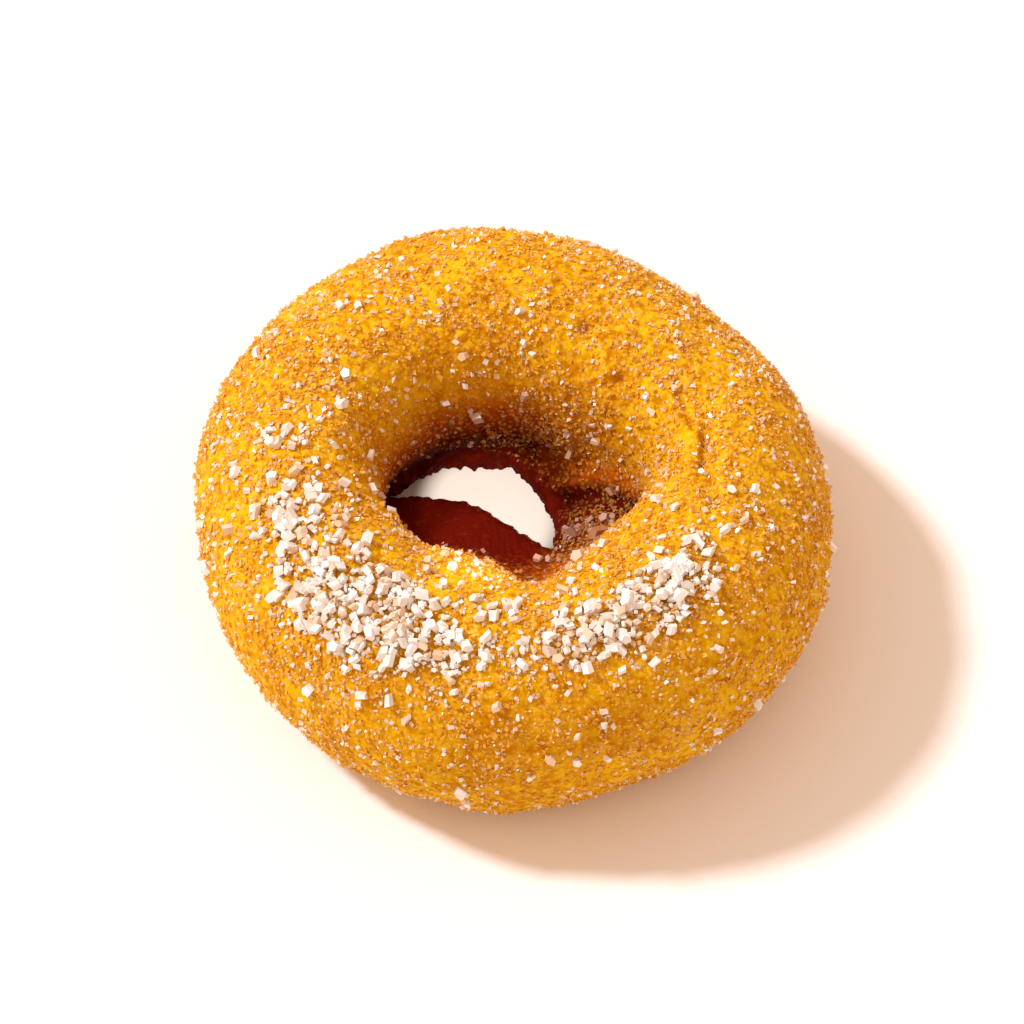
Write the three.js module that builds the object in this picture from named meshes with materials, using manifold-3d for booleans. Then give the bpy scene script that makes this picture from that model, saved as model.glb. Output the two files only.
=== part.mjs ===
// A small ring doughnut, fried until golden and rolled in granulated sugar.
// Millimetres, +Z up. It lies flat with its sugared side up, and the origin is on the surface
// it lies on, under the middle of the ring. Angles around the ring run anticlockwise from +X.
// Angles across the dough run from the outer side (0) over the crown (90) to the hole (180)
// and back under the ring (270).

import * as THREE from 'three';
import { ParametricGeometry } from 'three/addons/geometries/ParametricGeometry.js';
import { mergeVertices } from 'three/addons/utils/BufferGeometryUtils.js';
import Module from 'manifold-3d';

const radians = THREE.MathUtils.degToRad;
const fullTurn = 2 * Math.PI;

// Overall size
const outerRadius = 26;
const crownRadius = 16.5;
const thickness = 19;
const pressedFlat = 0.55; // of the round underside, where the ring rests

// The hole halfway down, an ellipse that is longer along X and a little off centre
const hole = { y: 0.5, halfLength: 10.7, halfWidth: 7.7 };

// Low in the hole the dough closes in to a bean-shaped throat that arches away from its chord.
// It is tilted, and lies lowest on the far side.
const throat = {
  x: -4,
  y: 2,
  turn: radians(-24),
  halfLength: 8,
  halfWidth: 3.5,
  arch: 4.2,
  across: radians(209),
  tilt: radians(13),
  sharpness: 12,
};

// Two lobes of the near rim overhang the throat and meet in a furrow that widens the hole.
const furrow = { depth: 2.4, turn: radians(280), spread: 0.24 };
const lobes = [
  { turn: radians(236), across: radians(150), around: 0.42, over: 0.35, depth: -0.9 },
  { turn: radians(334), across: radians(150), around: 0.25, over: 0.35, depth: -1 },
];

// The outline is a little squarish, and the surface rises and falls gently.
const outlineWaves = [
  { count: 1, size: 0.2, turn: radians(-158) },
  { count: 2, size: 0.65, turn: radians(-44) },
  { count: 3, size: 0.22, turn: radians(1) },
];
const swells = [
  { around: 3, across: 1, size: 0.2, phase: radians(35) },
  { around: 5, across: 2, size: 0.14, phase: radians(200) },
  { around: 8, across: 3, size: 0.09, phase: radians(110) },
  { around: 13, across: 4, size: 0.05, phase: radians(300) },
];

// Dents: a crease along the crown, and shallow dimples
const dents = [
  { turn: radians(8), across: radians(98), around: 0.22, over: 0.1, depth: 0.8 },
  { turn: radians(40), across: radians(108), around: 0.1, over: 0.2, depth: 0.25 },
  { turn: radians(66), across: radians(118), around: 0.1, over: 0.2, depth: 0.2 },
  { turn: radians(255), across: radians(62), around: 0.14, over: 0.22, depth: 0.3 },
];

// Low on the outer side, batter that ran while the first side fried left a ragged ridge.
const ridge = { height: 0.35, across: radians(-42), spread: 0.2, scallops: 17 };

// The largest loose sugar crystals lie in two drifts on the near side of the crown, with fewer
// between them and up the left side of the hole, and a few strays all over the upper side.
const crystals = {
  count: 125,
  smallest: 0.85,
  largest: 1.35,
  slimmest: 0.6, // shortest side as a share of the longest
  sunk: 0.38, // share of the crystal that is under the crust
  seed: 20,
};
const drifts = [
  { turn: radians(231), across: radians(74), around: 0.38, over: 0.32, share: 1 },
  { turn: radians(309), across: radians(81), around: 0.24, over: 0.2, share: 0.9 },
  { turn: radians(272), across: radians(84), around: 0.3, over: 0.22, share: 0.35 },
  { turn: radians(180), across: radians(90), around: 0.32, over: 0.24, share: 0.25 },
];
const strayShare = 0.03;
const sugaredFrom = radians(22);
const sugaredTo = radians(158);

// Facets of the dough
const facetsAround = 84;
const facetsAcross = 40;

const halfHeight = (thickness + pressedFlat) / 2;
const midHeight = halfHeight - pressedFlat;

// Draws of 0 to 1 that are the same every run (a linear congruential generator).
function seededRandom(seed) {
  let state = seed;
  return () => {
    state = (Math.imul(state, 1664525) + 1013904223) >>> 0;
    return state / 2 ** 32;
  };
}

// A smooth hump of height 1 at an angle, which repeats every full turn.
const hump = (angle, at, spread) => Math.exp((Math.cos(angle - at) - 1) / spread ** 2);

function outlineAt(around) {
  return outlineWaves.reduce(
    (radius, wave) => radius + wave.size * Math.cos(wave.count * (around - wave.turn)),
    outerRadius,
  );
}

function holeAt(around) {
  const ellipse = 1 / Math.hypot(Math.cos(around) / hole.halfLength, Math.sin(around) / hole.halfWidth);
  const offCentre = hole.y * Math.sin(around);
  return ellipse + offCentre + furrow.depth * hump(around, furrow.turn, furrow.spread);
}

function throatAt(around) {
  const angle = around - throat.turn;
  const along = throat.halfLength * Math.cos(angle);
  const away = throat.arch * Math.sin(angle) ** 2 + throat.halfWidth * Math.sin(angle);
  return new THREE.Vector2(along, away)
    .rotateAround(new THREE.Vector2(), throat.turn)
    .add(new THREE.Vector2(throat.x, throat.y));
}

// How far the surface stands off the plain section, in mm.
function reliefAt(around, across) {
  let relief = 0;
  for (const swell of swells) {
    relief += swell.size * Math.cos(swell.around * around + swell.across * across + swell.phase);
  }
  for (const dent of [...dents, ...lobes]) {
    relief -= dent.depth * hump(around, dent.turn, dent.around) * hump(across, dent.across, dent.over);
  }
  const scallop = 1 + 0.6 * Math.sin(ridge.scallops * around) * Math.sin(5 * around + 1);
  return relief + ridge.height * scallop * hump(across, ridge.across, ridge.spread);
}

function surfacePoint(around, across, target) {
  const outward = Math.cos(across);
  const upward = Math.sin(across);
  const halfWidth = outward > 0 ? outlineAt(around) - crownRadius : crownRadius - holeAt(around);
  const relief = reliefAt(around, across);
  const radius = crownRadius + (halfWidth + relief) * outward;
  const height = midHeight + (halfHeight + relief) * upward;

  const throatAcross = throat.across + throat.tilt * Math.sin(around);
  const pull = Math.max(0, Math.cos(across - throatAcross)) ** throat.sharpness;
  const mouth = throatAt(around);
  target.set(
    THREE.MathUtils.lerp(radius * Math.cos(around), mouth.x, pull),
    THREE.MathUtils.lerp(radius * Math.sin(around), mouth.y, pull),
    Math.max(0, height),
  );
  return target;
}

// A closed geometry with only positions, its shared corners merged.
function closedShell(geometry) {
  geometry.deleteAttribute('normal');
  geometry.deleteAttribute('uv');
  return mergeVertices(geometry);
}

function doughGeometry() {
  const place = (u, v, target) => surfacePoint((u % 1) * fullTurn, (v % 1) * fullTurn, target);
  return closedShell(new ParametricGeometry(place, facetsAround, facetsAcross));
}

function normalAt(around, across) {
  const step = 0.01;
  const here = surfacePoint(around, across, new THREE.Vector3());
  const along = surfacePoint(around + step, across, new THREE.Vector3()).sub(here);
  const over = surfacePoint(around, across + step, new THREE.Vector3()).sub(here);
  return along.cross(over).normalize();
}

// A crystal's place as angles around and across the dough, drawn more often in a drift.
function drawPlace(random) {
  for (;;) {
    const around = random() * fullTurn;
    const across = THREE.MathUtils.lerp(sugaredFrom, sugaredTo, random());
    const share = drifts.reduce(
      (sum, drift) =>
        sum + drift.share * hump(around, drift.turn, drift.around) * hump(across, drift.across, drift.over),
      strayShare,
    );
    if (random() < share) return { around, across };
  }
}

function crystalGeometry(random) {
  const { around, across } = drawPlace(random);
  const size = THREE.MathUtils.lerp(crystals.smallest, crystals.largest, random() ** 2);
  const side = () => size * THREE.MathUtils.lerp(crystals.slimmest, 1, random());
  const normal = normalAt(around, across);
  const centre = surfacePoint(around, across, new THREE.Vector3());
  centre.addScaledVector(normal, size * (0.5 - crystals.sunk));

  const tumble = new THREE.Euler(random() * fullTurn, random() * fullTurn, random() * fullTurn);
  const geometry = new THREE.BoxGeometry(size, side(), side());
  geometry.applyMatrix4(new THREE.Matrix4().makeRotationFromEuler(tumble).setPosition(centre));
  return closedShell(geometry);
}

function toSolid(geometry) {
  const vertProperties = new Float32Array(geometry.attributes.position.array);
  const triVerts = new Uint32Array(geometry.index.array);
  return new wasm.Manifold(new wasm.Mesh({ numProp: 3, vertProperties, triVerts }));
}

function toGeometry(solid) {
  const { vertProperties, triVerts } = solid.getMesh();
  const geometry = new THREE.BufferGeometry();
  geometry.setAttribute('position', new THREE.BufferAttribute(vertProperties, 3));
  geometry.setIndex(new THREE.BufferAttribute(triVerts, 1));
  return geometry;
}

function sugaredDoughnut() {
  const random = seededRandom(crystals.seed);
  let solid = toSolid(doughGeometry());
  for (let i = 0; i < crystals.count; i += 1) {
    solid = solid.add(toSolid(crystalGeometry(random)));
  }
  return toGeometry(solid);
}

const wasm = await Module();
wasm.setup();

const doughnut = new THREE.Mesh(
  sugaredDoughnut(),
  new THREE.MeshStandardMaterial({ color: 0xdd9a2c, roughness: 0.7, metalness: 0 }),
);
doughnut.name = 'doughnut';

const model = new THREE.Group();
model.add(doughnut);

export default model;
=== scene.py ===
import bpy
import math
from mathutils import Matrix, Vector


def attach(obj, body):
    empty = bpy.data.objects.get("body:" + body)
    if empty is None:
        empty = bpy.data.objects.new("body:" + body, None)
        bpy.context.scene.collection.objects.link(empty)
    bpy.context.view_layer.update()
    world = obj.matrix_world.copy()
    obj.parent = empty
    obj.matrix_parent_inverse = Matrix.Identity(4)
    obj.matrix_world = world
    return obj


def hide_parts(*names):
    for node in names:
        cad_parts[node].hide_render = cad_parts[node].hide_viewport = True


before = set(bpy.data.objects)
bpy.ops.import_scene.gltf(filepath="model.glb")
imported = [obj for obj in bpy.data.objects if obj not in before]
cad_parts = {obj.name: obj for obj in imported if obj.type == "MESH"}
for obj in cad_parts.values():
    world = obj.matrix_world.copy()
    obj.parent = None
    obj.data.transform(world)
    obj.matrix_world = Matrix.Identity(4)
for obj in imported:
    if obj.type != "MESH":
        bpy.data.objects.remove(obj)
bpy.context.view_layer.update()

# Lengths in the dictionaries are millimetres, angles are degrees and colours are sRGB hex.
mm = 0.001
fullTurn = 2 * math.pi


def addNode(tree, kind, settings=None, inputs=None):
    # Inputs are named or numbered among the sockets in use. A node stands for its first output in use.
    node = tree.nodes.new(kind)
    for key, value in (settings or {}).items():
        setattr(node, key, value)
    inUse = [socket for socket in node.inputs if socket.enabled]
    for key, value in (inputs or {}).items():
        socket = inUse[key] if isinstance(key, int) else next(s for s in inUse if s.name == key)
        if isinstance(value, bpy.types.Node):
            value = next(output for output in value.outputs if output.enabled)
        if isinstance(value, bpy.types.NodeSocket):
            tree.links.new(value, socket)
        else:
            socket.default_value = value
    return node


def linearColour(hexCode):
    channels = [int(hexCode[i:i + 2], 16) / 255 for i in (0, 2, 4)]
    return [c / 12.92 if c <= 0.04045 else ((c + 0.055) / 1.055) ** 2.4 for c in channels] + [1.0]


def startTree(name, sizes):
    # A Geometry Nodes tree with a named input for each size
    tree = bpy.data.node_groups.new(name, "GeometryNodeTree")
    tree.interface.new_socket("Geometry", in_out="INPUT", socket_type="NodeSocketGeometry")
    tree.interface.new_socket("Geometry", in_out="OUTPUT", socket_type="NodeSocketGeometry")
    for size, value in sizes.items():
        kind = "NodeSocketInt" if isinstance(value, int) else "NodeSocketFloat"
        tree.interface.new_socket(size, in_out="INPUT", socket_type=kind)
    return tree, addNode(tree, "NodeGroupInput").outputs


def growPiece(name, tree, sizes, mesh):
    # Runs the tree on the mesh and keeps the result as a plain mesh, with no modifier left.
    piece = bpy.data.objects.new(name, mesh)
    bpy.context.scene.collection.objects.link(piece)
    modifier = piece.modifiers.new("Grow", "NODES")
    modifier.node_group = tree
    for socket in tree.interface.items_tree:
        if socket.in_out == "INPUT" and socket.name in sizes:
            modifier[socket.identifier] = sizes[socket.name]
    depsgraph = bpy.context.evaluated_depsgraph_get()
    grown = bpy.data.meshes.new_from_object(piece.evaluated_get(depsgraph), depsgraph=depsgraph)
    piece.modifiers.remove(modifier)
    piece.data = grown
    grown.name = name
    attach(piece, "root")
    print(name, "grown:", sum(len(face.vertices) - 2 for face in grown.polygons), "triangles")
    return piece


# Waves and humps are placed by two angles: around the ring, anticlockwise from +X, and across the
# dough, from the outer side (0) over the crown (90) to the hole (180) and back under (270).
# A hump without one of the two runs all the way along it. Its spreads, along and over, are radians.
dough = {
    "outerRadius": 26.0,
    "crownRadius": 16.5,
    "thickness": 19.0,
    "pressedFlat": 0.55,  # of the round underside, where the ring rests
    "outlineWaves": [
        {"around": 1, "phase": 158, "size": 0.2},
        {"around": 2, "phase": 88, "size": 0.65},
        {"around": 3, "phase": -3, "size": 0.22},
    ],
    "swells": [
        {"around": 3, "across": 1, "phase": 35, "size": 0.2},
        {"around": 5, "across": 2, "phase": 200, "size": 0.14},
        {"around": 8, "across": 3, "phase": 110, "size": 0.09},
        {"around": 13, "across": 4, "phase": 300, "size": 0.05},
    ],
    "dents": [
        {"around": 8, "along": 0.22, "across": 98, "over": 0.1, "size": -0.8},
        {"around": 40, "along": 0.1, "across": 108, "over": 0.2, "size": -0.25},
        {"around": 66, "along": 0.1, "across": 118, "over": 0.2, "size": -0.2},
        {"around": 255, "along": 0.14, "across": 62, "over": 0.22, "size": -0.3},
    ],
    # two lobes of the near rim that meet in a furrow
    "lobes": [
        {"around": 236, "along": 0.42, "across": 150, "over": 0.35, "size": 0.9},
        {"around": 334, "along": 0.25, "across": 150, "over": 0.35, "size": 1.0},
    ],
    "furrow": [{"around": 280, "along": 0.24, "size": 2.4}],

    # ragged ridge of run batter, low on the outer side
    "ridge": [{"across": -42, "over": 0.2, "size": 0.35}],
    "scallops": [
        {"around": 12, "phase": -57.3, "size": 0.3},
        {"around": 22, "phase": 57.3, "size": -0.3},
    ],
    "quadsAround": 480,
    "quadsAcross": 206,
    "weldWithin": 0.001,  # closes the grid's two seams
}
hole = {"offCentre": 0.5, "halfLength": 10.7, "halfWidth": 7.7}
# Low in the hole the dough closes in to a bean-shaped throat that arches away from its chord.
throat = {
    "x": -4.0,
    "y": 2.0,
    "turn": -24,
    "halfLength": 8.0,
    "halfWidth": 3.5,
    "arch": 4.2,
    "across": 209,
    "tilt": 13,
    "sharpness": 12.0,
}
# Fine relief on top of the dough's shape: the blistered skin of fried batter
skin = {
    "blisterSize": 3.4,
    "blisterHeight": 0.13,
    "grainSize": 0.6,
    "grainHeight": 0.13,
    "pitSpacing": 3.4,
    "pitRadius": 0.5,
    "pitDepth": 0.22,
    "creaseDepth": 2.0,
    # a crease in the right-hand wall of the hole, and a broken one and pits on the crown; the creases are
    # also painted dark, as shade in the folds
    "creases": [
        {"around": 24, "along": 0.06, "across": 207, "over": 0.055, "size": 0.6},
        {"around": 22, "along": 0.06, "across": 202, "over": 0.055, "size": 0.55},
        {"around": 19, "along": 0.06, "across": 196, "over": 0.055, "size": 0.5},
        {"around": 14, "along": 0.06, "across": 190, "over": 0.055, "size": 0.5},
        {"around": 8, "along": 0.06, "across": 185, "over": 0.055, "size": 0.5},
        {"around": 2, "along": 0.06, "across": 180, "over": 0.055, "size": 0.5},
        {"around": 357, "along": 0.06, "across": 175, "over": 0.055, "size": 0.45},
        {"around": 23, "along": 0.05, "across": 107, "over": 0.045, "size": 0.25},
        {"around": 14, "along": 0.06, "across": 108, "over": 0.04, "size": 0.28},
        {"around": 6, "along": 0.06, "across": 99, "over": 0.045, "size": 0.32},
        {"around": 356, "along": 0.06, "across": 101, "over": 0.045, "size": 0.32},
        {"around": 349, "along": 0.06, "across": 93, "over": 0.04, "size": 0.28},
        {"around": 343, "along": 0.05, "across": 88, "over": 0.04, "size": 0.2},
        {"around": 64, "along": 0.035, "across": 112, "over": 0.05, "size": 0.35},
        {"around": 43, "along": 0.035, "across": 130, "over": 0.05, "size": 0.35},
        {"around": 24, "along": 0.035, "across": 123, "over": 0.045, "size": 0.25},
    ],
    # the near lip of the throat is smooth
    "smoothLip": [{"around": 240, "along": 0.75, "across": 205, "over": 0.4, "size": 1.0}],
    # crumbs stand out where the skin has torn, along the edge of the throat
    "crumbSize": 0.9,
    "crumbHeight": 0.45,
    "torn": [
        {"around": 90, "along": 1.2, "across": 226, "over": 0.3, "size": 1.0},
        {"around": 280, "along": 0.8, "across": 200, "over": 0.16, "size": 0.8},
    ],
}
# How brown the crust is painted, 0 to 1: the fried brown together with painted shade, deepest low in the
# hole
browningAndShade = [
    {"across": 208, "over": 0.5, "size": 0.95},
    {"around": 245, "along": 0.6, "across": 191, "over": 0.42, "size": 0.9},  # near wall: fried darker, with painted shade
    {"around": 48, "along": 0.36, "across": 194, "over": 0.32, "size": -0.5},  # paler far corner
    {"around": 262, "along": 0.9, "across": 38, "over": 0.55, "size": 0.19},  # front: painted shade on the side turned away from the key
    {"around": 90, "along": 1.1, "across": 226, "over": 0.4, "size": 0.5},  # far edge of the throat: painted shade
    {"around": 105, "along": 0.7, "across": 176, "over": 0.45, "size": 0.2},  # far wall: painted shade
]
# Where sugar sticks, as a share of what lies on the crown
sugarCover = [
    {"across": 80, "over": 1.35, "size": 1.0},
    {"across": 205, "over": 0.36, "size": -0.42},
    {"around": 240, "along": 0.75, "across": 205, "over": 0.45, "size": -1.0},
    {"around": 345, "along": 0.28, "across": 190, "over": 0.16, "size": 1.3},
    {"around": 62, "along": 0.45, "across": 192, "over": 0.3, "size": 0.8},
    {"around": 90, "along": 0.8, "across": 220, "over": 0.2, "size": -0.5},
    {"around": 90, "along": 0.9, "across": 15, "over": 0.5, "size": -0.4},
]
# Where loose crystals have gathered in drifts
sugarDrifts = [
    {"around": 230, "along": 0.34, "across": 74, "over": 0.28, "size": 1.1},
    {"around": 306, "along": 0.25, "across": 79, "over": 0.14, "size": 1.6},
    {"around": 268, "along": 0.3, "across": 84, "over": 0.24, "size": 0.12},
    {"around": 175, "along": 0.34, "across": 90, "over": 0.24, "size": 0.2},
    # on the right-hand ledge in the hole
    {"around": 352, "along": 0.2, "across": 194, "over": 0.12, "size": 0.12},
    {"around": 298, "along": 0.1, "across": 171, "over": 0.1, "size": 0.2},
]


def addWaves(tree, angles, waves, total, unit):
    # Adds size x cos(around x ring angle + across x dough angle + phase) to total, for each wave.
    for wave in waves:
        counts = (wave["around"], wave.get("across", 0), math.radians(wave["phase"]))
        phase = addNode(tree, "ShaderNodeVectorMath", {"operation": "DOT_PRODUCT"},
                        {0: angles, 1: counts})
        swing = addNode(tree, "ShaderNodeMath", {"operation": "COSINE"}, {0: phase})
        total = addNode(tree, "ShaderNodeMath", {"operation": "MULTIPLY_ADD"},
                        {0: swing, 1: wave["size"] * unit, 2: total})
    return total


def addHumps(tree, angles, humps, total, unit):
    # Adds a smooth hump of the given size to total, for each entry. It repeats every full turn.
    for hump in humps:
        at = [math.radians(hump.get(angle, 0)) for angle in ("around", "across")] + [0]
        steepness = [1 / hump[spread] ** 2 if spread in hump else 0 for spread in ("along", "over")] + [0]
        away = addNode(tree, "ShaderNodeVectorMath", {"operation": "SUBTRACT"}, {0: angles, 1: at})
        nearness = addNode(tree, "ShaderNodeVectorMath", {"operation": "COSINE"}, {0: away})
        rise = addNode(tree, "ShaderNodeVectorMath", {"operation": "DOT_PRODUCT"},
                       {0: nearness, 1: steepness})
        level = addNode(tree, "ShaderNodeMath", {"operation": "SUBTRACT"}, {0: rise, 1: sum(steepness)})
        shape = addNode(tree, "ShaderNodeMath", {"operation": "EXPONENT"}, {0: level})
        total = addNode(tree, "ShaderNodeMath", {"operation": "MULTIPLY_ADD"},
                        {0: shape, 1: hump["size"] * unit, 2: total})
    return total


doughSizes = {
    "Outer Radius": dough["outerRadius"] * mm,
    "Crown Radius": dough["crownRadius"] * mm,
    "Thickness": dough["thickness"] * mm,
    "Pressed Flat": dough["pressedFlat"] * mm,
    "Hole Off Centre": hole["offCentre"] * mm,
    "Hole Half Length": hole["halfLength"] * mm,
    "Hole Half Width": hole["halfWidth"] * mm,
    "Throat X": throat["x"] * mm,
    "Throat Y": throat["y"] * mm,
    "Throat Turn": math.radians(throat["turn"]),
    "Throat Half Length": throat["halfLength"] * mm,
    "Throat Half Width": throat["halfWidth"] * mm,
    "Throat Arch": throat["arch"] * mm,
    "Throat Across": math.radians(throat["across"]),
    "Throat Tilt": math.radians(throat["tilt"]),
    "Throat Sharpness": throat["sharpness"],
    "Blister Size": skin["blisterSize"] * mm,
    "Blister Height": skin["blisterHeight"] * mm,
    "Grain Size": skin["grainSize"] * mm,
    "Grain Height": skin["grainHeight"] * mm,
    "Pit Spacing": skin["pitSpacing"] * mm,
    "Pit Radius": skin["pitRadius"] * mm,
    "Pit Depth": skin["pitDepth"] * mm,
    "Crease Depth": skin["creaseDepth"] * mm,
    "Crumb Size": skin["crumbSize"] * mm,
    "Crumb Height": skin["crumbHeight"] * mm,
    "Quads Around": dough["quadsAround"],
    "Quads Across": dough["quadsAcross"],
}


def ringPlace(tree, size, angles, around, across):
    # Where a point of the ring lies, by its two angles
    cosAround = addNode(tree, "ShaderNodeMath", {"operation": "COSINE"}, {0: around})
    sinAround = addNode(tree, "ShaderNodeMath", {"operation": "SINE"}, {0: around})
    outward = addNode(tree, "ShaderNodeMath", {"operation": "COSINE"}, {0: across})
    upward = addNode(tree, "ShaderNodeMath", {"operation": "SINE"}, {0: across})

    # the dough's half width, on the outer side and on the side of the hole
    outline = addWaves(tree, angles, dough["outlineWaves"], size["Outer Radius"], mm)
    outerHalf = addNode(tree, "ShaderNodeMath", {"operation": "SUBTRACT"},
                        {0: outline, 1: size["Crown Radius"]})
    alongHole = addNode(tree, "ShaderNodeMath", {"operation": "DIVIDE"},
                        {0: cosAround, 1: size["Hole Half Length"]})
    overHole = addNode(tree, "ShaderNodeMath", {"operation": "DIVIDE"},
                       {0: sinAround, 1: size["Hole Half Width"]})
    ellipse = addNode(tree, "ShaderNodeCombineXYZ", inputs={"X": alongHole, "Y": overHole})
    stretch = addNode(tree, "ShaderNodeVectorMath", {"operation": "LENGTH"}, {0: ellipse})
    holeRadius = addNode(tree, "ShaderNodeMath", {"operation": "DIVIDE"}, {0: 1.0, 1: stretch})
    shifted = addNode(tree, "ShaderNodeMath", {"operation": "MULTIPLY_ADD"},
                      {0: sinAround, 1: size["Hole Off Centre"], 2: holeRadius})
    furrowed = addHumps(tree, angles, dough["furrow"], shifted, mm)
    innerHalf = addNode(tree, "ShaderNodeMath", {"operation": "SUBTRACT"},
                        {0: size["Crown Radius"], 1: furrowed})
    isOuter = addNode(tree, "ShaderNodeMath", {"operation": "GREATER_THAN"}, {0: outward, 1: 0.0})
    halfWidth = addNode(tree, "ShaderNodeMix", inputs={"Factor": isOuter, "A": innerHalf, "B": outerHalf})

    # how far the surface stands off the plain section
    swollen = addWaves(tree, angles, dough["swells"], 0.0, mm)
    relief = addHumps(tree, angles, dough["dents"] + dough["lobes"], swollen, mm)
    scallop = addWaves(tree, angles, dough["scallops"], 1.0, 1)
    ridge = addHumps(tree, angles, dough["ridge"], 0.0, mm)
    relief = addNode(tree, "ShaderNodeMath", {"operation": "MULTIPLY_ADD"},
                     {0: scallop, 1: ridge, 2: relief})

    reach = addNode(tree, "ShaderNodeMath", {"operation": "ADD"}, {0: halfWidth, 1: relief})
    radius = addNode(tree, "ShaderNodeMath", {"operation": "MULTIPLY_ADD"},
                     {0: reach, 1: outward, 2: size["Crown Radius"]})
    whole = addNode(tree, "ShaderNodeMath", {"operation": "ADD"},
                    {0: size["Thickness"], 1: size["Pressed Flat"]})
    halfHeight = addNode(tree, "ShaderNodeMath", {"operation": "MULTIPLY"}, {0: whole, 1: 0.5})
    midHeight = addNode(tree, "ShaderNodeMath", {"operation": "SUBTRACT"},
                        {0: halfHeight, 1: size["Pressed Flat"]})
    rise = addNode(tree, "ShaderNodeMath", {"operation": "ADD"}, {0: halfHeight, 1: relief})
    height = addNode(tree, "ShaderNodeMath", {"operation": "MULTIPLY_ADD"},
                     {0: rise, 1: upward, 2: midHeight})
    lying = addNode(tree, "ShaderNodeMath", {"operation": "MAXIMUM"}, {0: height, 1: 0.0})
    planX = addNode(tree, "ShaderNodeMath", {"operation": "MULTIPLY"}, {0: radius, 1: cosAround})
    planY = addNode(tree, "ShaderNodeMath", {"operation": "MULTIPLY"}, {0: radius, 1: sinAround})
    onRing = addNode(tree, "ShaderNodeCombineXYZ", inputs={"X": planX, "Y": planY, "Z": lying})

    # the wall of the hole is drawn towards the throat, the more the nearer it is in height
    beanAngle = addNode(tree, "ShaderNodeMath", {"operation": "SUBTRACT"},
                        {0: around, 1: size["Throat Turn"]})
    beanCos = addNode(tree, "ShaderNodeMath", {"operation": "COSINE"}, {0: beanAngle})
    beanSin = addNode(tree, "ShaderNodeMath", {"operation": "SINE"}, {0: beanAngle})
    beanX = addNode(tree, "ShaderNodeMath", {"operation": "MULTIPLY"},
                    {0: beanCos, 1: size["Throat Half Length"]})
    arched = addNode(tree, "ShaderNodeMath", {"operation": "MULTIPLY_ADD"},
                     {0: beanSin, 1: size["Throat Arch"], 2: size["Throat Half Width"]})
    beanY = addNode(tree, "ShaderNodeMath", {"operation": "MULTIPLY"}, {0: beanSin, 1: arched})
    bean = addNode(tree, "ShaderNodeCombineXYZ", inputs={"X": beanX, "Y": beanY})
    beanTurned = addNode(tree, "ShaderNodeVectorRotate", {"rotation_type": "Z_AXIS"},
                         {"Vector": bean, "Angle": size["Throat Turn"]})
    beanCentre = addNode(tree, "ShaderNodeCombineXYZ", inputs={
        "X": size["Throat X"], "Y": size["Throat Y"]})
    mouth = addNode(tree, "ShaderNodeVectorMath", {"operation": "ADD"}, {0: beanTurned, 1: beanCentre})
    mouthAcross = addNode(tree, "ShaderNodeMath", {"operation": "MULTIPLY_ADD"},
                          {0: sinAround, 1: size["Throat Tilt"], 2: size["Throat Across"]})
    fromMouth = addNode(tree, "ShaderNodeMath", {"operation": "SUBTRACT"}, {0: across, 1: mouthAcross})
    nearMouth = addNode(tree, "ShaderNodeMath", {"operation": "COSINE"}, {0: fromMouth})
    facingMouth = addNode(tree, "ShaderNodeMath", {"operation": "MAXIMUM"}, {0: nearMouth, 1: 0.0})
    pull = addNode(tree, "ShaderNodeMath", {"operation": "POWER"},
                   {0: facingMouth, 1: size["Throat Sharpness"]})
    toMouth = addNode(tree, "ShaderNodeVectorMath", {"operation": "SUBTRACT"}, {0: mouth, 1: onRing})
    level = addNode(tree, "ShaderNodeVectorMath", {"operation": "MULTIPLY"}, {0: toMouth, 1: (1, 1, 0)})
    drawn = addNode(tree, "ShaderNodeVectorMath", {"operation": "SCALE"}, {0: level, "Scale": pull})
    return addNode(tree, "ShaderNodeVectorMath", {"operation": "ADD"}, {0: onRing, 1: drawn})


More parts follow.
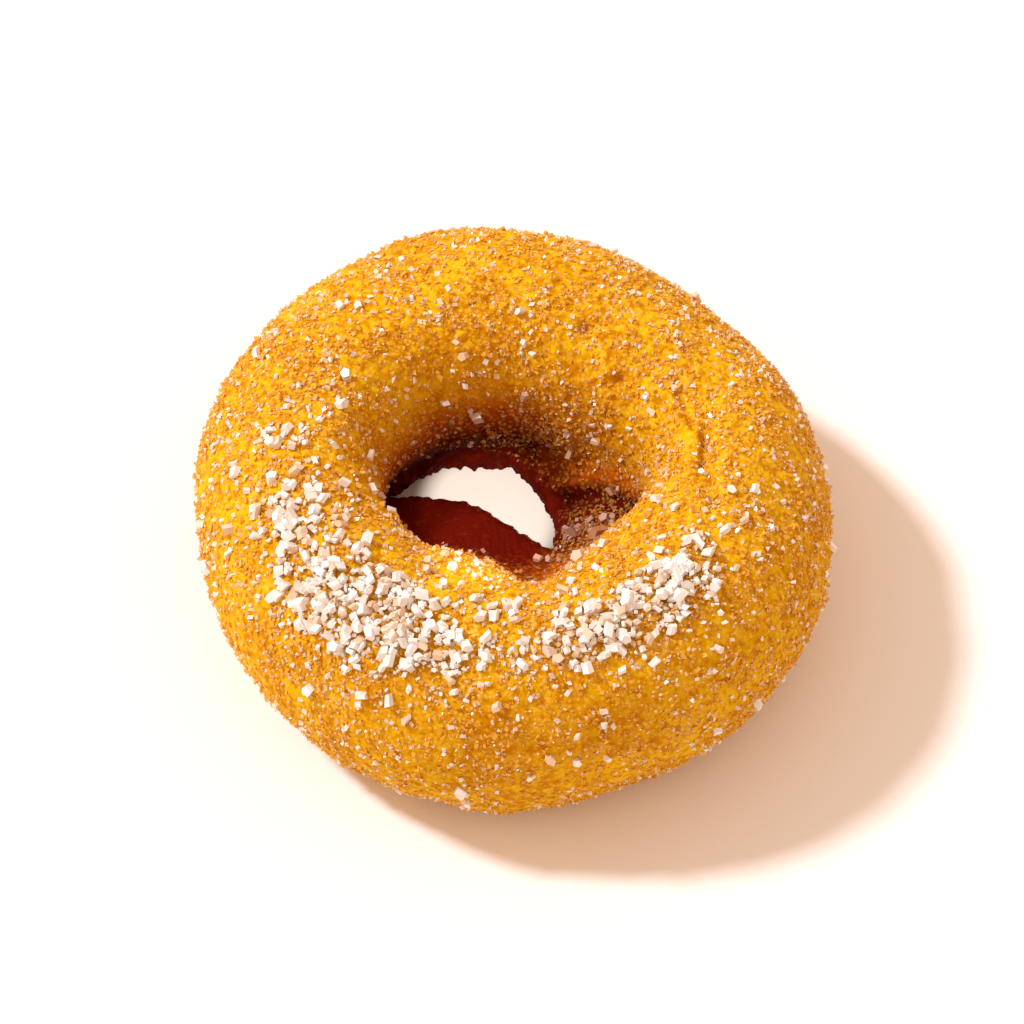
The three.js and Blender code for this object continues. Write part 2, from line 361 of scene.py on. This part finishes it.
def skinRelief(tree, size):
    # Height of the fine relief over the dough's shape, in metres
    place = addNode(tree, "GeometryNodeInputPosition")
    lip = addNode(tree, "GeometryNodeInputNamedAttribute", {"data_type": "FLOAT"}, {"Name": "lip"})
    rough = addNode(tree, "ShaderNodeMath", {"operation": "SUBTRACT", "use_clamp": True},
                    {0: 1.0, 1: lip})
    torn = addNode(tree, "GeometryNodeInputNamedAttribute", {"data_type": "FLOAT"}, {"Name": "torn"})
    relief = 0.0
    for patch, mask in {"Blister": rough, "Grain": rough, "Crumb": torn}.items():
        scale = addNode(tree, "ShaderNodeMath", {"operation": "DIVIDE"},
                        {0: 1.0, 1: size[patch + " Size"]})
        noise = addNode(tree, "ShaderNodeTexNoise", inputs={
            "Vector": place, "Scale": scale, "Detail": 1.0})
        # the noise keeps to the middle of 0 to 1, so this brings it to about -1 to 1
        centred = addNode(tree, "ShaderNodeMath", {"operation": "MULTIPLY_ADD"},
                          {0: noise, 1: 4.0, 2: -2.0})
        masked = addNode(tree, "ShaderNodeMath", {"operation": "MULTIPLY"}, {0: centred, 1: mask})
        relief = addNode(tree, "ShaderNodeMath", {"operation": "MULTIPLY_ADD"},
                         {0: masked, 1: size[patch + " Height"], 2: relief})
    pitScale = addNode(tree, "ShaderNodeMath", {"operation": "DIVIDE"}, {0: 1.0, 1: size["Pit Spacing"]})
    cells = addNode(tree, "ShaderNodeTexVoronoi", inputs={"Vector": place, "Scale": pitScale})
    fromPit = addNode(tree, "ShaderNodeMath", {"operation": "MULTIPLY"},
                      {0: cells.outputs["Distance"], 1: size["Pit Spacing"]})
    pit = addNode(tree, "ShaderNodeMapRange", {"interpolation_type": "SMOOTHSTEP"}, {
        "Value": fromPit, "From Min": 0.0, "From Max": size["Pit Radius"], "To Min": 1.0, "To Max": 0.0})
    pitted = addNode(tree, "ShaderNodeMath", {"operation": "MULTIPLY"}, {0: pit, 1: size["Pit Depth"]})
    masked = addNode(tree, "ShaderNodeMath", {"operation": "MULTIPLY"}, {0: pitted, 1: rough})
    relief = addNode(tree, "ShaderNodeMath", {"operation": "SUBTRACT"}, {0: relief, 1: masked})
    creased = addNode(tree, "GeometryNodeInputNamedAttribute", {"data_type": "FLOAT"},
                      {"Name": "creased"})
    folded = addNode(tree, "ShaderNodeMath", {"operation": "MULTIPLY"},
                     {0: creased, 1: size["Crease Depth"]})
    return addNode(tree, "ShaderNodeMath", {"operation": "SUBTRACT"}, {0: relief, 1: folded})


def doughTree(material):
    tree, size = startTree("Dough", doughSizes)
    pointsAround = addNode(tree, "ShaderNodeMath", {"operation": "ADD"},
                           {0: size["Quads Around"], 1: 1.0})
    pointsAcross = addNode(tree, "ShaderNodeMath", {"operation": "ADD"},
                           {0: size["Quads Across"], 1: 1.0})
    grid = addNode(tree, "GeometryNodeMeshGrid", inputs={
        "Size X": fullTurn, "Size Y": fullTurn, "Vertices X": pointsAround, "Vertices Y": pointsAcross})
    # both angles, and a 1 by which a wave's phase is multiplied
    onGrid = addNode(tree, "GeometryNodeInputPosition")
    turned = addNode(tree, "ShaderNodeVectorMath", {"operation": "ADD"},
                     {0: onGrid, 1: (math.pi, math.pi, 1)})
    turns = addNode(tree, "ShaderNodeSeparateXYZ", inputs={0: turned})
    around, across = turns.outputs["X"], turns.outputs["Y"]

    # masks that the skin, the crust's colour and the sugar follow; the browned mask also holds painted
    # shade, low in the hole, on the front and along the creases
    geometry = grid
    masks = {"lip": skin["smoothLip"], "torn": skin["torn"], "creased": skin["creases"],
             "brownedAndShaded": browningAndShade + skin["creases"], "sugared": sugarCover, "drift": sugarDrifts}
    for mask, humps in masks.items():
        amount = addHumps(tree, turned, humps, 0.0, 1)
        kept = addNode(tree, "ShaderNodeClamp", inputs={"Value": amount})
        geometry = addNode(tree, "GeometryNodeStoreNamedAttribute",
                           {"data_type": "FLOAT", "domain": "POINT"},
                           {"Geometry": geometry, "Name": mask, "Value": kept})

    onRing = ringPlace(tree, size, turned, around, across)
    bent = addNode(tree, "GeometryNodeSetPosition", inputs={"Geometry": geometry, "Position": onRing})
    closed = addNode(tree, "GeometryNodeMergeByDistance", inputs={
        "Geometry": bent, "Distance": dough["weldWithin"] * mm})
    normal = addNode(tree, "GeometryNodeInputNormal")
    offset = addNode(tree, "ShaderNodeVectorMath", {"operation": "SCALE"},
                     {0: normal, "Scale": skinRelief(tree, size)})
    place = addNode(tree, "GeometryNodeInputPosition")
    raised = addNode(tree, "ShaderNodeVectorMath", {"operation": "ADD"}, {0: place, 1: offset})
    # nothing goes below the table
    lying = addNode(tree, "ShaderNodeVectorMath", {"operation": "MAXIMUM"}, {0: raised, 1: (-1, -1, 0)})
    skinned = addNode(tree, "GeometryNodeSetPosition", inputs={"Geometry": closed, "Position": lying})
    smooth = addNode(tree, "GeometryNodeSetShadeSmooth", inputs={
        "Geometry": skinned, "Shade Smooth": True})
    whole = addNode(tree, "GeometryNodeRealizeInstances", inputs={"Geometry": smooth})
    painted = addNode(tree, "GeometryNodeSetMaterial", inputs={"Geometry": whole, "Material": material})
    addNode(tree, "NodeGroupOutput", inputs={"Geometry": painted})
    return tree


# Fried batter crust: an opaque, nearly matte skin, mottled golden and amber. Down the hole it turns
# chestnut and then dark red-brown: partly a deeper fry, partly painted shade where little light reaches.
crustFinish = {
    "golden": "E6B40A",
    "amber": "C27C00",
    "chestnut": "AC4E06",
    "shadedRedBrown": "560C02",
    "dustedWith": "F4C458",
    "patch": 5.0,
    "patchShare": 0.6,  # of the patches' weight beside the mottles
    "mottle": 0.7,
    "tones": (0.66, 0.94),  # from amber to golden
    "unevenness": 0.5,
    "chestnutOver": (0.12, 0.55),  # how brown it is where chestnut sets in and where it is full
    "shadedRedBrownOver": (0.5, 0.95),
    "dust": 0.4,
    "speckOver": (0.1, 0.5),  # distance from a speck's middle, as a share of the dust's size
    "speckStrength": 0.7,
    "dustInDrifts": 0.9,
    "roughness": 0.7,
    "refraction": 1.36,
    "sheen": 0.06,
    "poreSize": 0.35,
    "poreBump": 0.1,
}


def friedCrust():
    material = bpy.data.materials.new("friedBatterCrust")
    material.use_nodes = True
    tree = material.node_tree
    tree.nodes.clear()
    place = addNode(tree, "ShaderNodeTexCoord").outputs["Object"]
    brownedAndShaded = addNode(tree, "ShaderNodeAttribute", {"attribute_name": "brownedAndShaded"}).outputs["Fac"]
    sugared = addNode(tree, "ShaderNodeAttribute", {"attribute_name": "sugared"}).outputs["Fac"]
    drift = addNode(tree, "ShaderNodeAttribute", {"attribute_name": "drift"}).outputs["Fac"]

    patches = addNode(tree, "ShaderNodeTexNoise", inputs={
        "Vector": place, "Scale": 1 / (crustFinish["patch"] * mm), "Detail": 3.0, "Roughness": 0.6})
    mottles = addNode(tree, "ShaderNodeTexNoise", inputs={
        "Vector": place, "Scale": 1 / (crustFinish["mottle"] * mm), "Detail": 2.0})
    mixed = addNode(tree, "ShaderNodeMath", {"operation": "MULTIPLY_ADD"},
                    {0: patches, 1: crustFinish["patchShare"], 2: mottles})
    darkest, lightest = crustFinish["tones"]
    tone = addNode(tree, "ShaderNodeMapRange", inputs={
        "Value": mixed, "From Min": darkest, "From Max": lightest})
    amber, golden = linearColour(crustFinish["amber"]), linearColour(crustFinish["golden"])
    base = addNode(tree, "ShaderNodeMix", {"data_type": "RGBA"}, {"Factor": tone, "A": amber, "B": golden})

    # browned and painted with shade patchily, first to chestnut and then to red-brown
    uneven = addNode(tree, "ShaderNodeMath", {"operation": "MULTIPLY_ADD"},
                     {0: mottles, 1: crustFinish["unevenness"], 2: -crustFinish["unevenness"] / 2})
    bakedAndShaded = addNode(tree, "ShaderNodeMath", {"operation": "ADD"}, {0: brownedAndShaded, 1: uneven})
    setsIn, isFull = crustFinish["chestnutOver"]
    toastAndShade = addNode(tree, "ShaderNodeMapRange", inputs={
        "Value": bakedAndShaded, "From Min": setsIn, "From Max": isFull})
    setsIn, isFull = crustFinish["shadedRedBrownOver"]
    deepFryAndShade = addNode(tree, "ShaderNodeMapRange", inputs={
        "Value": bakedAndShaded, "From Min": setsIn, "From Max": isFull})
    toastedAndShaded = addNode(tree, "ShaderNodeMix", {"data_type": "RGBA"}, {
        "Factor": toastAndShade, "A": base, "B": linearColour(crustFinish["chestnut"])})
    friedAndShaded = addNode(tree, "ShaderNodeMix", {"data_type": "RGBA"}, {
        "Factor": deepFryAndShade, "A": toastedAndShaded, "B": linearColour(crustFinish["shadedRedBrown"])})

    # sugar dust, too fine to model as crystals, and more of it under the drifts
    dust = addNode(tree, "ShaderNodeTexVoronoi", inputs={
        "Vector": place, "Scale": 1 / (crustFinish["dust"] * mm)}).outputs["Distance"]
    middle, edge = crustFinish["speckOver"]
    speck = addNode(tree, "ShaderNodeMapRange", inputs={
        "Value": dust, "From Min": middle, "From Max": edge,
        "To Min": crustFinish["speckStrength"], "To Max": 0.0})
    cover = addNode(tree, "ShaderNodeMath", {"operation": "MULTIPLY_ADD"},
                    {0: drift, 1: crustFinish["dustInDrifts"], 2: sugared})
    dusted = addNode(tree, "ShaderNodeMath", {"operation": "MULTIPLY"}, {0: speck, 1: cover})
    colour = addNode(tree, "ShaderNodeMix", {"data_type": "RGBA"}, {
        "Factor": dusted, "A": friedAndShaded, "B": linearColour(crustFinish["dustedWith"])})

    pores = addNode(tree, "ShaderNodeTexNoise", inputs={
        "Vector": place, "Scale": 1 / (crustFinish["poreSize"] * mm), "Detail": 2.0})
    bump = addNode(tree, "ShaderNodeBump", inputs={
        "Strength": 1.0, "Distance": crustFinish["poreBump"] * mm, "Height": pores})
    shader = addNode(tree, "ShaderNodeBsdfPrincipled", inputs={
        "Base Color": colour, "Roughness": crustFinish["roughness"], "IOR": crustFinish["refraction"],
        "Specular IOR Level": crustFinish["sheen"], "Normal": bump})
    addNode(tree, "ShaderNodeOutputMaterial", inputs={"Surface": shader})
    return material


crust = growPiece("crust", doughTree(friedCrust()), doughSizes, bpy.data.meshes.new("crust"))
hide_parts("doughnut")

# Granulated sugar: blocky crystals with slanted ends. Densities are crystals per square millimetre.
fineSugar = {
    "everywhere": 6.4,
    "inDrifts": 3.0,
    "smallest": 0.2,
    "largest": 0.52,
    "slimmest": 0.6,  # thinnest side, as a share of the length
    "slant": 0.3,
    "sunk": 0.32,  # share of the length that is under the crust
    "drifted": 0.3,  # height of a drift
    "clump": 3.0,
    "sides": 3,
    "seed": 7,
    "soaked": "F2B83C",
    "soakedShare": 0.82,
    "body": 0.65,
}
coarseSugar = {
    "everywhere": 0.07,
    "inDrifts": 4.8,
    "smallest": 0.4,
    "largest": 1.2,
    "slimmest": 0.6,
    "slant": 0.25,
    "sunk": 0.3,
    "drifted": 0.6,
    "clump": 2.2,
    "sides": 5,
    "seed": 20,
    "soaked": "F0D0AC",
    "soakedShare": 0.28,
    "body": 0.86,
}
# What both kinds share
crystal = {
    "lowest": 0.5,  # height below which none lies
    "coveredFrom": 2.0,  # height above which the cover is full
    "fewest": 0.4,  # density between the clumps and in them, as a share of the mean
    "most": 1.6,
    "smallness": 2.8,  # the higher, the more of them are near the smallest
    "narrowing": 0.3,
}


def sugarSizes(sugar):
    return {
        "Everywhere": sugar["everywhere"] / mm ** 2,
        "In Drifts": sugar["inDrifts"] / mm ** 2,
        "Smallest": sugar["smallest"] * mm,
        "Largest": sugar["largest"] * mm,
        "Slimmest": sugar["slimmest"],
        "Slant": sugar["slant"],
        "Sunk": sugar["sunk"],
        "Drifted": sugar["drifted"] * mm,
        "Clump": sugar["clump"] * mm,
        "Lowest": crystal["lowest"] * mm,
        "Covered From": crystal["coveredFrom"] * mm,
        "Fewest": crystal["fewest"],
        "Most": crystal["most"],
        "Smallness": crystal["smallness"],
        "Narrowing": crystal["narrowing"],
        "Sides": sugar["sides"],
        "Seed": sugar["seed"],
    }


def sugarTree(sugar, material):
    tree, size = startTree("Sugar", sugarSizes(sugar))
    drift = addNode(tree, "GeometryNodeInputNamedAttribute", {"data_type": "FLOAT"}, {"Name": "drift"})
    sugared = addNode(tree, "GeometryNodeInputNamedAttribute", {"data_type": "FLOAT"},
                      {"Name": "sugared"})
    thin = addNode(tree, "ShaderNodeMath", {"operation": "MULTIPLY"}, {0: sugared, 1: size["Everywhere"]})
    spread = addNode(tree, "ShaderNodeMath", {"operation": "MULTIPLY_ADD"},
                     {0: drift, 1: size["In Drifts"], 2: thin})

    # it clumps, and none lies where the dough rests
    place = addNode(tree, "GeometryNodeInputPosition")
    clumpScale = addNode(tree, "ShaderNodeMath", {"operation": "DIVIDE"}, {0: 1.0, 1: size["Clump"]})
    noise = addNode(tree, "ShaderNodeTexNoise", inputs={
        "Vector": place, "Scale": clumpScale, "Detail": 1.0})
    clump = addNode(tree, "ShaderNodeMapRange", inputs={
        "Value": noise, "From Min": 0.35, "From Max": 0.65,
        "To Min": size["Fewest"], "To Max": size["Most"]})
    height = addNode(tree, "ShaderNodeSeparateXYZ", inputs={0: place})
    clear = addNode(tree, "ShaderNodeMapRange", inputs={
        "Value": height.outputs["Z"], "From Min": size["Lowest"], "From Max": size["Covered From"]})
    kept = addNode(tree, "ShaderNodeMath", {"operation": "MULTIPLY"}, {0: clump, 1: clear})
    density = addNode(tree, "ShaderNodeMath", {"operation": "MULTIPLY"}, {0: spread, 1: kept})
    points = addNode(tree, "GeometryNodeDistributePointsOnFaces", inputs={
        "Mesh": size["Geometry"], "Density": density, "Seed": size["Seed"]})

    # each crystal's size, most of them near the smallest
    draw = addNode(tree, "FunctionNodeRandomValue", inputs={"Seed": 1})
    small = addNode(tree, "ShaderNodeMath", {"operation": "POWER"}, {0: draw, 1: size["Smallness"]})
    length = addNode(tree, "ShaderNodeMapRange", inputs={
        "Value": small, "To Min": size["Smallest"], "To Max": size["Largest"]})
    slim = addNode(tree, "ShaderNodeCombineXYZ", inputs={
        "X": size["Slimmest"], "Y": size["Slimmest"], "Z": size["Slimmest"]})
    sides = addNode(tree, "FunctionNodeRandomValue", {"data_type": "FLOAT_VECTOR"}, {
        "Min": slim, "Max": (1, 1, 1), "Seed": 2})
    scale = addNode(tree, "ShaderNodeVectorMath", {"operation": "SCALE"}, {0: sides, "Scale": length})
    tumble = addNode(tree, "FunctionNodeRandomValue", {"data_type": "FLOAT_VECTOR"}, {
        "Min": (0, 0, 0), "Max": (fullTurn, fullTurn, fullTurn), "Seed": 3})
    turn = addNode(tree, "FunctionNodeEulerToRotation", inputs={0: tumble})

    # sunk into the crust, or piled on other crystals in a drift
    proud = addNode(tree, "ShaderNodeMath", {"operation": "SUBTRACT"}, {0: 0.5, 1: size["Sunk"]})
    stand = addNode(tree, "ShaderNodeMath", {"operation": "MULTIPLY"}, {0: proud, 1: length})
    layer = addNode(tree, "FunctionNodeRandomValue", inputs={"Seed": 4})
    pile = addNode(tree, "ShaderNodeMath", {"operation": "MULTIPLY"}, {0: drift, 1: size["Drifted"]})
    lift = addNode(tree, "ShaderNodeMath", {"operation": "MULTIPLY_ADD"}, {0: layer, 1: pile, 2: stand})
    offset = addNode(tree, "ShaderNodeVectorMath", {"operation": "SCALE"},
                     {0: points.outputs["Normal"], "Scale": lift})
    lifted = addNode(tree, "GeometryNodeSetPosition",
                     inputs={"Geometry": points.outputs["Points"], "Offset": offset})
    # how free of fat a crystal is: a soaked one shows the crust's colour
    dryness = addNode(tree, "FunctionNodeRandomValue", inputs={"Seed": 5})
    marked = addNode(tree, "GeometryNodeStoreNamedAttribute", {"data_type": "FLOAT", "domain": "POINT"},
                     {"Geometry": lifted, "Name": "dryness", "Value": dryness})

    # one crystal: a prism that leans over and narrows towards one end
    prism = addNode(tree, "GeometryNodeMeshCylinder", inputs={
        "Vertices": size["Sides"], "Radius": 0.5, "Depth": 1.0})
    corner = addNode(tree, "GeometryNodeInputPosition")
    axes = addNode(tree, "ShaderNodeSeparateXYZ", inputs={0: corner})
    narrowed = addNode(tree, "ShaderNodeMath", {"operation": "MULTIPLY"},
                       {0: axes.outputs["Z"], 1: size["Narrowing"]})
    width = addNode(tree, "ShaderNodeMath", {"operation": "SUBTRACT"}, {0: 1.0, 1: narrowed})
    narrowX = addNode(tree, "ShaderNodeMath", {"operation": "MULTIPLY"}, {0: axes.outputs["X"], 1: width})
    leanX = addNode(tree, "ShaderNodeMath", {"operation": "MULTIPLY_ADD"},
                    {0: axes.outputs["Z"], 1: size["Slant"], 2: narrowX})
    leanZ = addNode(tree, "ShaderNodeMath", {"operation": "MULTIPLY_ADD"},
                    {0: axes.outputs["Y"], 1: size["Slant"], 2: axes.outputs["Z"]})
    skewed = addNode(tree, "ShaderNodeCombineXYZ", inputs={
        "X": leanX, "Y": axes.outputs["Y"], "Z": leanZ})
    single = addNode(tree, "GeometryNodeSetPosition", inputs={"Geometry": prism, "Position": skewed})

    placed = addNode(tree, "GeometryNodeInstanceOnPoints", inputs={
        "Points": marked, "Instance": single, "Rotation": turn, "Scale": scale})
    real = addNode(tree, "GeometryNodeRealizeInstances", inputs={"Geometry": placed})
    flat = addNode(tree, "GeometryNodeSetShadeSmooth", inputs={"Geometry": real, "Shade Smooth": False})
    painted = addNode(tree, "GeometryNodeSetMaterial", inputs={"Geometry": flat, "Material": material})
    addNode(tree, "NodeGroupOutput", inputs={"Geometry": painted})
    return tree


# Granulated sugar: clear sucrose that looks white, because its faces are scratched and its inside
# is cloudy. Facets glint. Crystals that have taken up fat are clearer and show the crust's gold. Of
# the fine ones most have, and of the coarse ones some. Down the hole they take on the crust's brown and
# painted shade.
sugarFinish = {
    "white": "FFFBF6",
    "shadedBrown": "AE5C22",
    "brownFrom": 0.1,  # mask value at which the crust's brown and painted shade start to show on the crystals
    "brownTo": 0.8,
    "brownMost": 0.75,
    "halfSoaked": 0.2,  # spread of the change from soaked to white, as a share of the crystals
    "cloud": 0.6,
    "smoothest": 0.07,
    "roughest": 0.28,
    "refraction": 1.54,
}


def sugarMaterial(name, sugar):
    material = bpy.data.materials.new(name)
    material.use_nodes = True
    tree = material.node_tree
    tree.nodes.clear()
    dryness = addNode(tree, "ShaderNodeAttribute", {"attribute_name": "dryness"}).outputs["Fac"]
    whiteness = addNode(tree, "ShaderNodeMapRange", inputs={
        "Value": dryness, "From Min": sugar["soakedShare"] - sugarFinish["halfSoaked"],
        "From Max": sugar["soakedShare"] + sugarFinish["halfSoaked"] / 2})
    colour = addNode(tree, "ShaderNodeMix", {"data_type": "RGBA"}, {
        "Factor": whiteness, "A": linearColour(sugar["soaked"]), "B": linearColour(sugarFinish["white"])})
    # crystals down the hole are painted brown, for the crust showing through and for painted shade
    brownedAndShaded = addNode(tree, "ShaderNodeAttribute", {"attribute_name": "brownedAndShaded"}).outputs["Fac"]
    throughAndShade = addNode(tree, "ShaderNodeMapRange", inputs={
        "Value": brownedAndShaded, "From Min": sugarFinish["brownFrom"], "From Max": sugarFinish["brownTo"],
        "To Min": 0.0, "To Max": sugarFinish["brownMost"]})
    seen = addNode(tree, "ShaderNodeMix", {"data_type": "RGBA"}, {
        "Factor": throughAndShade, "A": colour, "B": linearColour(sugarFinish["shadedBrown"])})
    place = addNode(tree, "ShaderNodeTexCoord").outputs["Object"]
    cloud = addNode(tree, "ShaderNodeTexNoise", inputs={
        "Vector": place, "Scale": 1 / (sugarFinish["cloud"] * mm), "Detail": 1.0})
    roughness = addNode(tree, "ShaderNodeMapRange", inputs={
        "Value": cloud, "From Min": 0.3, "From Max": 0.7,
        "To Min": sugarFinish["smoothest"], "To Max": sugarFinish["roughest"]})
    shader = addNode(tree, "ShaderNodeBsdfPrincipled", inputs={
        "Base Color": seen, "Roughness": roughness, "IOR": sugarFinish["refraction"],
        "Alpha": sugar["body"]})
    addNode(tree, "ShaderNodeOutputMaterial", inputs={"Surface": shader})
    return material


for name, sugar in {"fineSugar": fineSugar, "coarseSugar": coarseSugar}.items():
    tree = sugarTree(sugar, sugarMaterial(name, sugar))
    piece = growPiece(name, tree, sugarSizes(sugar), crust.data.copy())

# A pale floor, a key light from the left and behind, a spot down through the hole and a warm room.
# Azimuths run anticlockwise from the camera's side, as seen from above.
studio = {
    "floorHalf": 1500,
    "floorColour": "F7F5F2",
    "floorRoughness": 0.8,
    "cameraElevation": 57,
    "lens": 250,
    "frameWidth": 84,
    "keyAzimuth": 250,
    "keyElevation": 47,
    "keyStrength": 3.0,
    "keySoftness": 8,
    "keyColour": "F0F5FF",
    "roomColour": "FFDDC4",
    "roomStrength": 0.9,
    "spotAzimuth": 359,
    "spotElevation": 57,
    "spotDistance": 500,
    "spotWidth": 13.5,
    "spotBlend": 0.6,
    "spotAt": (-1.8, 6.0, 0),
    "spotPower": 11.0,
    "spotColour": "FFF1E4",
}


def directionTo(azimuth, elevation):
    turn, rise = math.radians(azimuth), math.radians(elevation)
    level = math.cos(rise)
    return Vector((math.sin(turn) * level, -math.cos(turn) * level, math.sin(rise)))


def studioFloor():
    half = studio["floorHalf"] * mm
    mesh = bpy.data.meshes.new("floor")
    corners = [(-half, -half, 0), (half, -half, 0), (half, half, 0), (-half, half, 0)]
    mesh.from_pydata(corners, [], [(0, 1, 2, 3)])
    material = bpy.data.materials.new("matteTable")
    material.use_nodes = True
    shader = material.node_tree.nodes["Principled BSDF"]
    shader.inputs["Base Color"].default_value = linearColour(studio["floorColour"])
    shader.inputs["Roughness"].default_value = studio["floorRoughness"]
    mesh.materials.append(material)
    floor = bpy.data.objects.new("floor", mesh)
    bpy.context.scene.collection.objects.link(floor)


def studioLight(name, kind, energy):
    lamp = bpy.data.lights.new(name, kind)
    lamp.energy = energy
    lamp.color = linearColour(studio[name + "Colour"])[:3]
    light = bpy.data.objects.new(name, lamp)
    toLight = directionTo(studio[name + "Azimuth"], studio[name + "Elevation"])
    light.rotation_euler = toLight.to_track_quat("Z", "Y").to_euler()
    bpy.context.scene.collection.objects.link(light)
    return light


def studioCamera():
    lens = bpy.data.cameras.new("camera")
    lens.lens = studio["lens"]
    distance = studio["frameWidth"] * mm * studio["lens"] / lens.sensor_width
    camera = bpy.data.objects.new("camera", lens)
    back = directionTo(0, studio["cameraElevation"])
    camera.location = Vector((0, 0, dough["thickness"] / 2 * mm)) + back * distance
    camera.rotation_euler = back.to_track_quat("Z", "Y").to_euler()
    bpy.context.scene.collection.objects.link(camera)
    bpy.context.scene.camera = camera


studioFloor()
key = studioLight("key", "SUN", studio["keyStrength"])
key.data.angle = math.radians(studio["keySoftness"])
spot = studioLight("spot", "SPOT", studio["spotPower"])
spot.data.spot_size = 2 * math.atan(studio["spotWidth"] / 2 / studio["spotDistance"])
spot.data.spot_blend = studio["spotBlend"]
toSpot = directionTo(studio["spotAzimuth"], studio["spotElevation"])
spot.location = (Vector(studio["spotAt"]) + toSpot * studio["spotDistance"]) * mm
studioCamera()
room = bpy.data.worlds.new("room")
room.use_nodes = True
background = room.node_tree.nodes["Background"]
background.inputs["Color"].default_value = linearColour(studio["roomColour"])
background.inputs["Strength"].default_value = studio["roomStrength"]
bpy.context.scene.world = room
bpy.context.scene.view_settings.view_transform = "Standard"
print("studio set up")
